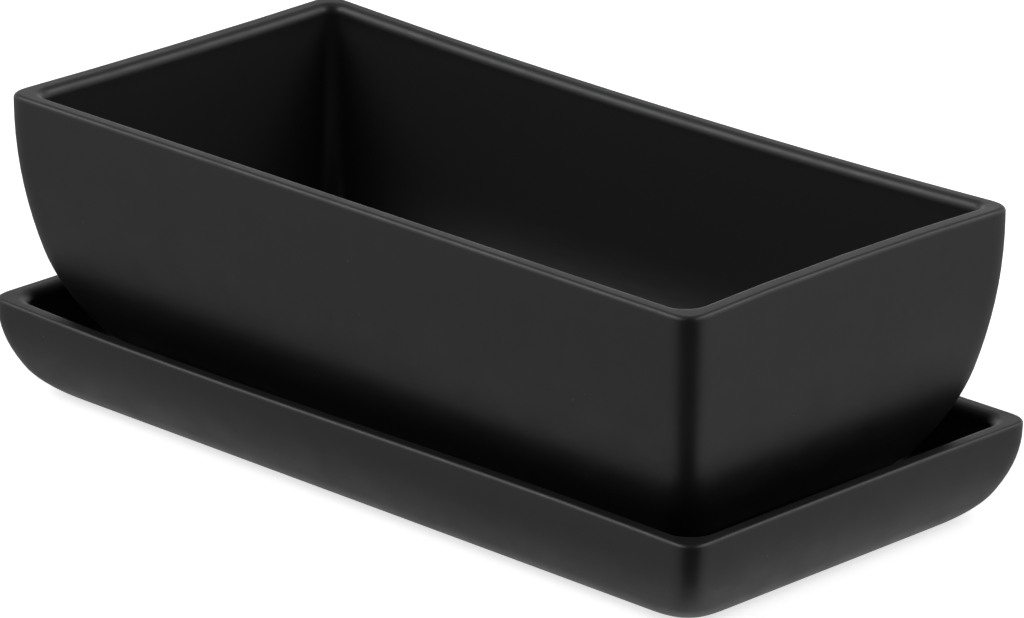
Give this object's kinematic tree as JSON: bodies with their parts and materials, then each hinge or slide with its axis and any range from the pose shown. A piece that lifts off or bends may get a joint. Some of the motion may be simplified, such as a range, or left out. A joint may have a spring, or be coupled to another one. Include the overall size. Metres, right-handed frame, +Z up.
{
  "type": "herb planter",
  "caption": "Long rectangular glazed ceramic planter with curved walls, drain holes and loose mesh screens, standing in a matching shallow saucer.",
  "frame": {"origin": "centre of the planter's footprint on the table, under the pads", "axes": "+X along the length, +Y to the back, +Z up"},
  "size_m": [0.315, 0.1546, 0.103],
  "materials": {
    "pot_glaze": "satin black glaze",
    "saucer_glaze": "satin black glaze",
    "screen_plastic": "moulded black plastic mesh",
    "pad_rubber": "soft dark rubber"
  },
  "bodies": {
    "saucer": {"saucer": "saucer_glaze", "foot_pad_front_left": "pad_rubber", "foot_pad_front_right": "pad_rubber", "foot_pad_back_left": "pad_rubber", "foot_pad_back_right": "pad_rubber"},
    "pot": {"pot": "pot_glaze"},
    "screen_left": {"drain_screen_left": "screen_plastic"},
    "screen_centre": {"drain_screen_centre": "screen_plastic"},
    "screen_right": {"drain_screen_right": "screen_plastic"}
  },
  "joints": [
    {"name": "pot_lift", "type": "slide", "parent": "saucer", "child": "pot", "axis": [0, 0, 1], "range_m": [0, 0.06]},
    {"name": "screen_left_lift", "type": "slide", "parent": "pot", "child": "screen_left", "axis": [0, 0, 1], "range_m": [0, 0.1]},
    {"name": "screen_centre_lift", "type": "slide", "parent": "pot", "child": "screen_centre", "axis": [0, 0, 1], "range_m": [0, 0.1]},
    {"name": "screen_right_lift", "type": "slide", "parent": "pot", "child": "screen_right", "axis": [0, 0, 1], "range_m": [0, 0.1]}
  ]
}
